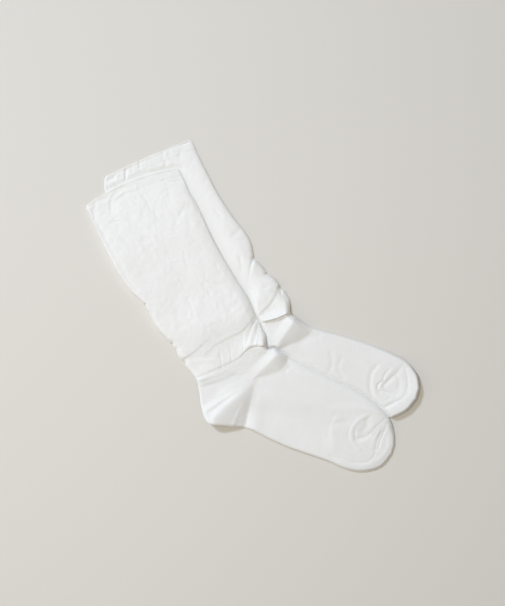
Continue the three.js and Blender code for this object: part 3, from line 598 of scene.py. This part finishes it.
# how the mesh is spread: places beside the rim, mean widths, how much coarser the underside is, rows of
# faces for each pitch and at least, how much closer they come at the toe, and a row's length laid flat
grid = {"rim": (0, 0.12, 0.45, 0.95, 1.6), "inner": 2.6, "footWidth": 92, "legWidth": 114, "lowCoarser": 2.2,
        "along": 0.95, "fewest": 10, "toeCloser": 1.25, "flatRow": 22}


def sideSpread(width, count):
    # places across the sock, closer together where its sides turn under
    rim, inner = 2 * np.array(grid["rim"]) / width, 1 - 2 * grid["inner"] / width
    return np.concatenate([-1 + rim, np.linspace(-inner, inner, count), 1 - rim[::-1]])


def tubeMesh(sock, name, startRow, endRow, closed=False):
    # the outside of a flattened tube: over the top from back to front, and back below
    length = cloth["rowPitch"] * (np.max(endRow(np.zeros(1))) - np.min(startRow(np.zeros(1))))
    width = grid["footWidth"] if closed else grid["legWidth"]
    topU = sideSpread(width, int(width / cloth["pitch"]))
    lowU = sideSpread(width, int(width / (grid["lowCoarser"] * cloth["pitch"])))[::-1][1:-1]
    u = np.concatenate([topU, lowU])
    isTop = np.concatenate([np.ones(len(topU), bool), np.zeros(len(lowU), bool)])
    v = np.linspace(0, 1, max(grid["fewest"], int(grid["along"] * length / cloth["pitch"])))
    if closed:
        v = 1 - (1 - v) ** grid["toeCloser"]
    share, across = np.meshgrid(v, u, indexing="ij")
    s = mix(startRow(across), endRow(across), share)
    x, y, bottom, top = sock.heights(s, across)
    z = np.where(isTop[None, :], top, bottom)
    verts = np.stack([x, y, z], axis=-1).reshape(-1, 3) * mm
    index = np.arange(verts.shape[0]).reshape(s.shape)
    nextIndex = np.roll(index, -1, axis=1)
    quads = np.stack([index[:-1], index[1:], nextIndex[1:], nextIndex[:-1]], axis=-1).reshape(-1, 4)
    faces = [tuple(int(i) for i in q) for q in quads]
    flat = np.stack([across * width / 2, s * grid["flatRow"]], axis=-1).reshape(-1, 2) * mm
    if closed:
        last = index[-1]
        verts = np.concatenate([verts, [verts[last].mean(axis=0)]])
        flat = np.concatenate([flat, [[0, sock.last * grid["flatRow"] * mm]]])
        faces += [(int(a), len(verts) - 1, int(b)) for a, b in zip(last, np.roll(last, -1))]
    mesh = bpy.data.meshes.new(name)
    mesh.from_pydata(verts.tolist(), [], faces)
    uv = mesh.uv_layers.new(name="cloth")
    loops = np.empty(len(mesh.loops), int)
    mesh.loops.foreach_get("vertex_index", loops)
    uv.data.foreach_set("uv", flat[loops].astype(np.float32).ravel())
    mesh.shade_smooth()
    mesh.update()
    piece = bpy.data.objects.new(name, mesh)
    bpy.context.collection.objects.link(piece)
    return piece


def bakeModifiers(piece):
    depsgraph = bpy.context.evaluated_depsgraph_get()
    mesh = bpy.data.meshes.new_from_object(piece.evaluated_get(depsgraph))
    piece.modifiers.clear()
    old, name = piece.data, piece.data.name
    piece.data = mesh
    bpy.data.meshes.remove(old)
    mesh.name = name


def asShell(piece, thickness):
    # gives the cloth its thickness, inwards
    wall = piece.modifiers.new("wall", "SOLIDIFY")
    wall.thickness = thickness * mm
    wall.offset = -1
    wall.use_rim = True
    bakeModifiers(piece)
    piece.data.set_sharp_from_angle(angle=math.radians(60))


def giveInputs(tree, node, inputs):
    # each input is a number, a colour or another node's output
    for key, value in inputs.items():
        if isinstance(value, bpy.types.NodeSocket):
            tree.links.new(value, node.inputs[key])
        else:
            node.inputs[key].default_value = value


def addNode(tree, kind, inputs={}, **settings):
    # returns the new node's outputs
    node = tree.nodes.new(kind)
    for key, value in settings.items():
        setattr(node, key, value)
    giveInputs(tree, node, inputs)
    return node.outputs


def maths(tree, operation, *values):
    return addNode(tree, "ShaderNodeMath", dict(enumerate(values)), operation=operation)[0]


def newGroup(name, kind, inputs, outputs):
    group = bpy.data.node_groups.new(name, kind)
    for way, sockets in (("INPUT", inputs), ("OUTPUT", outputs)):
        for key, value in sockets.items():
            group.interface.new_socket(key, in_out=way, socket_type="NodeSocket" + value)
    return group, addNode(group, "NodeGroupInput"), group.nodes.new("NodeGroupOutput")


knitShape = {"slant": 1.3, "depth": 0.35, "crinkleDetail": 3, "twist": 0.8, "mottleDetail": 4}
# how much of the lighter colour the knit and the mottle bring, and the spread of the roughness
knitShade = {"knit": 0.45, "mottle": 0.9, "roughness": 0.12}


def knitGroup():
    # columns of V stitches along the cloth, its small crinkles, and where it is a little thinner
    group, given, result = newGroup(
        "fineKnit", "ShaderNodeTree",
        {"Cloth": "Vector", "Place": "Vector", "Wales": "Float", "Courses": "Float", "Crinkle": "Float",
         "Mottle": "Float"}, {"Knit": "Float", "Crinkle": "Float", "Mottle": "Float"})
    split = addNode(group, "ShaderNodeSeparateXYZ", {"Vector": given["Cloth"]})
    wale = maths(group, "FRACT", maths(group, "MULTIPLY", split["X"], given["Wales"]))
    fromMiddle = maths(group, "ABSOLUTE", maths(group, "SUBTRACT", wale, 0.5))
    course = maths(group, "MULTIPLY", split["Y"], given["Courses"])
    slant = maths(group, "MULTIPLY_ADD", fromMiddle, knitShape["slant"], course)
    loop = maths(group, "SINE", maths(group, "MULTIPLY", slant, 2 * math.pi))
    legs = maths(group, "SINE", maths(group, "MULTIPLY", fromMiddle, 2 * math.pi))
    depth = maths(group, "MULTIPLY_ADD", loop, knitShape["depth"], 1 - knitShape["depth"])
    crinkle = addNode(group, "ShaderNodeTexNoise", {
        "Vector": given["Place"], "Scale": given["Crinkle"], "Detail": knitShape["crinkleDetail"],
        "Distortion": knitShape["twist"]})
    mottle = addNode(group, "ShaderNodeTexNoise", {
        "Vector": given["Place"], "Scale": given["Mottle"], "Detail": knitShape["mottleDetail"]})
    giveInputs(group, result, {"Knit": maths(group, "MULTIPLY", legs, depth), "Crinkle": crinkle["Fac"],
                               "Mottle": mottle["Fac"]})
    return group


def clothMaterial(name, look):
    material = bpy.data.materials.new(name)
    material.use_nodes = True
    tree = material.node_tree
    coords = addNode(tree, "ShaderNodeTexCoord")
    counts = {key.capitalize(): look[key] for key in ("wales", "courses", "crinkle", "mottle")}
    knit = addNode(tree, "ShaderNodeGroup", dict(counts, Cloth=coords["UV"], Place=coords["Object"]),
                   node_tree=fineKnit)
    # painted shade: the cloth is a little darker between the threads, where the knit's bump sinks, and darker
    # at random where the mottle is low
    mottled = maths(tree, "MULTIPLY", knit["Mottle"], knitShade["mottle"])
    tint = addNode(tree, "ShaderNodeMix", {
        "Factor": maths(tree, "MULTIPLY_ADD", knit["Knit"], knitShade["knit"], mottled),
        "A": (*[c * look["grooveShadeAndMottle"] for c in look["colour"]], 1), "B": (*look["colour"], 1)}, data_type="RGBA")
    creased = addNode(tree, "ShaderNodeBump", {
        "Distance": look["crinkleDepth"] * mm, "Height": knit["Crinkle"]})
    bump = addNode(tree, "ShaderNodeBump", {
        "Distance": look["knitDepth"] * mm, "Height": knit["Knit"], "Normal": creased["Normal"]})
    spread = knitShade["roughness"]
    rough = maths(tree, "MULTIPLY_ADD", knit["Mottle"], spread, look["roughness"] - spread / 2)
    giveInputs(tree, tree.nodes["Principled BSDF"], {
        "Sheen Weight": look["sheen"], "Sheen Roughness": 0.6, "Base Color": tint["Result"],
        "Roughness": rough, "Normal": bump["Normal"]})
    return material


# wales, courses, crinkle and mottle are counts a metre, depths are in millimetres. The tint's darker end is a
# share of the colour: painted shade in the knit's grooves, and random mottle
legLook = {"colour": (0.87, 0.875, 0.86), "grooveShadeAndMottle": 0.94, "roughness": 0.9, "sheen": 0.15, "wales": 820,
           "courses": 1050, "knitDepth": 0.06, "crinkle": 230, "crinkleDepth": 0.3, "mottle": 55}
# the welt: a little darker than the leg, painted shade for its crinkled cloth, and with finer crinkles
weltLook = dict(legLook, colour=(0.86, 0.865, 0.85), crinkle=300)
footLook = {"colour": (0.85, 0.855, 0.845), "grooveShadeAndMottle": 0.945, "roughness": 0.85, "sheen": 0.1, "wales": 1050,
            "courses": 1350, "knitDepth": 0.05, "crinkle": 210, "crinkleDepth": 0.22, "mottle": 40}
threadLook = {"colour": (0.84, 0.845, 0.83), "grooveShadeAndMottle": 0.9, "roughness": 0.7, "sheen": 0.1, "wales": 0,
              "courses": 0, "knitDepth": 0.0, "crinkle": 2600, "crinkleDepth": 0.08, "mottle": 900}
fineKnit = knitGroup()
legCloth = clothMaterial("legCloth", legLook)
weltCloth = clothMaterial("weltCloth", weltLook)
footKnit = clothMaterial("footKnit", footLook)
threadCotton = clothMaterial("threadCotton", threadLook)


def stitchGroup():
    # turns a line into a row of short stitches
    group, given, result = newGroup(
        "stitchRow", "GeometryNodeTree",
        {"Line": "Geometry", "Spacing": "Float", "Length": "Float", "Thickness": "Float", "Slant": "Float",
         "Jitter": "Float", "Seed": "Int", "Material": "Material"}, {"Stitches": "Geometry"})
    curve = addNode(group, "GeometryNodeMeshToCurve", {"Mesh": given["Line"]})
    points = addNode(group, "GeometryNodeResampleCurve", {
        "Curve": curve["Curve"], "Length": given["Spacing"]}, mode="LENGTH")
    half = maths(group, "MULTIPLY", given["Length"], 0.5)
    ends = [addNode(group, "ShaderNodeCombineXYZ", {"X": maths(group, "MULTIPLY", half, sign)})["Vector"]
            for sign in (-1, 1)]
    thread = addNode(group, "GeometryNodeCurvePrimitiveLine", {"Start": ends[0], "End": ends[1]})
    profile = addNode(group, "GeometryNodeCurvePrimitiveCircle", {
        "Resolution": 6, "Radius": maths(group, "MULTIPLY", given["Thickness"], 0.5)})
    solid = addNode(group, "GeometryNodeCurveToMesh", {
        "Curve": thread["Curve"], "Profile Curve": profile["Curve"], "Fill Caps": True})
    tangent = addNode(group, "GeometryNodeInputTangent")["Tangent"]
    along = addNode(group, "FunctionNodeAlignRotationToVector", {"Vector": tangent}, axis="X")
    jitter = addNode(group, "FunctionNodeRandomValue", {
        "Min": maths(group, "SUBTRACT", given["Slant"], given["Jitter"]),
        "Max": maths(group, "ADD", given["Slant"], given["Jitter"]), "Seed": given["Seed"]})
    turn = addNode(group, "ShaderNodeCombineXYZ", {"Z": jitter["Value"]})
    turned = addNode(group, "FunctionNodeRotateRotation", {
        "Rotation": along["Rotation"], "Rotate By": turn["Vector"]}, rotation_space="LOCAL")
    placed = addNode(group, "GeometryNodeInstanceOnPoints", {
        "Points": points["Curve"], "Instance": solid["Mesh"], "Rotation": turned["Rotation"]})
    real = addNode(group, "GeometryNodeRealizeInstances", {"Geometry": placed["Instances"]})
    painted = addNode(group, "GeometryNodeSetMaterial", {
        "Geometry": real["Geometry"], "Material": given["Material"]})
    giveInputs(group, result, {"Stitches": painted["Geometry"]})
    return group


stitchRow = stitchGroup()
# sizes in millimetres, slant and jitter in degrees, out: from the seam to the row, towards the cuff
hemStitch, weltStitch, toeStitch = table(
    ("Spacing", "Length", "Thickness", "Slant", "Jitter", "Seed", "out"),
    (2.3, 1.7, 0.28, 0, 5, 3, 2.2),
    (2.0, 1.5, 0.26, 8, 6, 5, 1.5),
    (0.95, 1.2, 0.3, 62, 9, 8, 0))
stitchUnits = {"Spacing": mm, "Length": mm, "Thickness": mm, "Slant": math.radians(1),
               "Jitter": math.radians(1)}
# where a row ends across the tube, how far above the cloth its threads' middle lies, and how many places
# are set or tried for it
rowShape = {"across": 0.97, "proud": 0.02, "points": 90, "toeAlong": 200, "toeAcross": 180}


def stitchPiece(name, lines, look):
    # lines: x, y, z in millimetres along each row
    places = np.concatenate(lines) * mm
    starts = np.cumsum([0] + [len(line) for line in lines])
    edges = [(i, i + 1) for first, last in zip(starts[:-1], starts[1:]) for i in range(first, last - 1)]
    mesh = bpy.data.meshes.new(name)
    mesh.from_pydata(places.tolist(), edges, [])
    piece = bpy.data.objects.new(name, mesh)
    bpy.context.collection.objects.link(piece)
    rows = piece.modifiers.new("stitches", "NODES")
    rows.node_group = stitchRow
    values = {key: look[key] * stitchUnits.get(key, 1) for key in look if key != "out"}
    values["Material"] = threadCotton
    for item in stitchRow.interface.items_tree:
        if item.name in values:
            rows[item.identifier] = values[item.name]
    bakeModifiers(piece)
    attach(piece, "root")
    print(piece.name, len(piece.data.polygons), "faces")
    return piece


def roundTube(sock, rowOf, look):
    # lines across the tube, half sunk into the cloth on top and level with it below
    across = np.linspace(-rowShape["across"], rowShape["across"], rowShape["points"])
    x, y, bottom, top = sock.heights(rowOf(across), across)
    return [np.stack([x, y, z], axis=1) for z in (top + rowShape["proud"], bottom + look["Thickness"] / 2)]


def onToe(sock, path):
    # a line on top of the toe, through plan places
    s, u = (places.ravel() for places in np.meshgrid(
        np.linspace(cloth["toeRow"], sock.last, rowShape["toeAlong"]),
        np.linspace(-1, 1, rowShape["toeAcross"])))
    gridX, gridY = sock.plan(s, u)
    nearest = [int(np.argmin((gridX - x) ** 2 + (gridY - y) ** 2)) for x, y in smoothPath(path)]
    x, y, bottom, top = sock.heights(s[nearest], u[nearest])
    return [np.stack([x, y, top + rowShape["proud"]], axis=1)]


toeSeams = {"under": ((173, -66), (170, -69.5), (164.5, -76.5), (157.5, -83.5), (152, -89.5)),
            "over": ((127, -149.5), (134, -146), (140.5, -139), (148.5, -131.5), (154, -127.5))}


def rowAt(value):
    return lambda u: np.full(np.shape(u), float(value))


def makeSock(sock):
    gap = cloth["seam"] / cloth["rowPitch"]
    welt = tubeMesh(sock, sock.name + "Welt", rowAt(0), rowAt(cloth["weltRow"] - gap))
    leg = tubeMesh(sock, sock.name + "Leg", rowAt(cloth["weltRow"] + gap), sock.hemAt)
    foot = tubeMesh(sock, sock.name + "Foot", lambda u: sock.hemAt(u) + 2 * gap,
                    rowAt(sock.last - cloth["toeEnd"]), closed=True)
    stitches = {
        "Welt": stitchPiece(sock.name + "WeltStitches", roundTube(
            sock, rowAt(cloth["weltRow"] - weltStitch["out"] / cloth["rowPitch"]), weltStitch), weltStitch),
        "Leg": stitchPiece(sock.name + "HemStitches", roundTube(
            sock, lambda u: sock.hemAt(u) - hemStitch["out"] / cloth["rowPitch"], hemStitch), hemStitch),
        "Foot": stitchPiece(sock.name + "ToeStitches", onToe(sock, toeSeams[sock.name]), toeStitch)}
    for piece, part, slot, material, flat in (
            (welt, "Welt", "leg_cloth", weltCloth, (0.221, 0.012)),
            (leg, "Leg", "leg_cloth", legCloth, (0.220, 0.215)),
            (foot, "Foot", "foot_knit", footKnit, (0.178, 0.225))):
        piece.data.materials.append(material)
        asShell(piece, cloth["thickness"])
        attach(piece, "root")
        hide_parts(sock.name + "_" + part.lower())
        print(piece.name, len(piece.data.polygons), "faces")


room = {
    "floorSize": 4.0,
    "floorColour": (0.71, 0.69, 0.645),
    "lampFrom": (-0.72, 0.69),
    "lampHeight": 42,      # degrees above the floor
    "lampDistance": 4.0,
    "lampSize": 0.5,
    "lampPower": 74,
    "lampColour": (0.83, 0.97, 1.2),
    "fillPlace": (-1.9, -0.7, 1.0),
    "fillSize": 1.2,
    "fillPower": 7,
    "topPlace": (-0.32, 0.02, 1.35),
    "topSize": 0.5,
    "topPower": 5.9,
    "warm": (1.03, 0.97, 0.87),
    "sky": (0.34, 0.318, 0.283),
    "pixelSize": 1.13 * mm,
    "framePixels": (505, 606),
    "frameMiddle": (2.26, 1.7),
    "lens": 100,
}


def makeLamp(name, place, shape, size, power, colour):
    lamp = bpy.data.lights.new(name, "AREA")
    lamp.shape, lamp.size, lamp.energy, lamp.color = shape, size, power, colour
    holder = bpy.data.objects.new(name, lamp)
    bpy.context.collection.objects.link(holder)
    holder.location = place
    holder.rotation_euler = (-holder.location).to_track_quat("-Z", "Y").to_euler()


def makeRoom():
    side = room["floorSize"] / 2
    mesh = bpy.data.meshes.new("floor")
    corners = [(-side, -side, 0), (side, -side, 0), (side, side, 0), (-side, side, 0)]
    mesh.from_pydata(corners, [], [(0, 1, 2, 3)])
    floor = bpy.data.objects.new("floor", mesh)
    bpy.context.collection.objects.link(floor)
    material = bpy.data.materials.new("floorPaint")
    material.use_nodes = True
    giveInputs(material.node_tree, material.node_tree.nodes["Principled BSDF"], {
        "Base Color": (*room["floorColour"], 1), "Roughness": 0.95, "Specular IOR Level": 0.1})
    mesh.materials.append(material)

    angle, far = math.radians(room["lampHeight"]), room["lampDistance"]
    flat = far * math.cos(angle) / math.hypot(*room["lampFrom"])
    keyPlace = (room["lampFrom"][0] * flat, room["lampFrom"][1] * flat, far * math.sin(angle))
    makeLamp("key", keyPlace, "DISK", room["lampSize"], room["lampPower"], room["lampColour"])
    makeLamp("fill", room["fillPlace"], "SQUARE", room["fillSize"], room["fillPower"], room["warm"])
    makeLamp("top", room["topPlace"], "DISK", room["topSize"], room["topPower"], room["warm"])

    world = bpy.data.worlds.new("room")
    bpy.context.scene.world = world
    world.use_nodes = True
    world.node_tree.nodes["Background"].inputs["Color"].default_value = (*room["sky"], 1)

    camera = bpy.data.cameras.new("camera")
    camera.sensor_fit = "HORIZONTAL"
    camera.lens = room["lens"]
    eye = bpy.data.objects.new("camera", camera)
    bpy.context.collection.objects.link(eye)
    fieldWidth = room["framePixels"][0] * room["pixelSize"]
    height = fieldWidth * camera.lens / camera.sensor_width
    eye.location = (room["frameMiddle"][0] * mm, room["frameMiddle"][1] * mm, height)
    bpy.context.scene.camera = eye
    bpy.context.scene.view_settings.view_transform = "Standard"


makeRoom()
print("room ready")
for sock in (under, over):
    makeSock(sock)
print("socks ready")
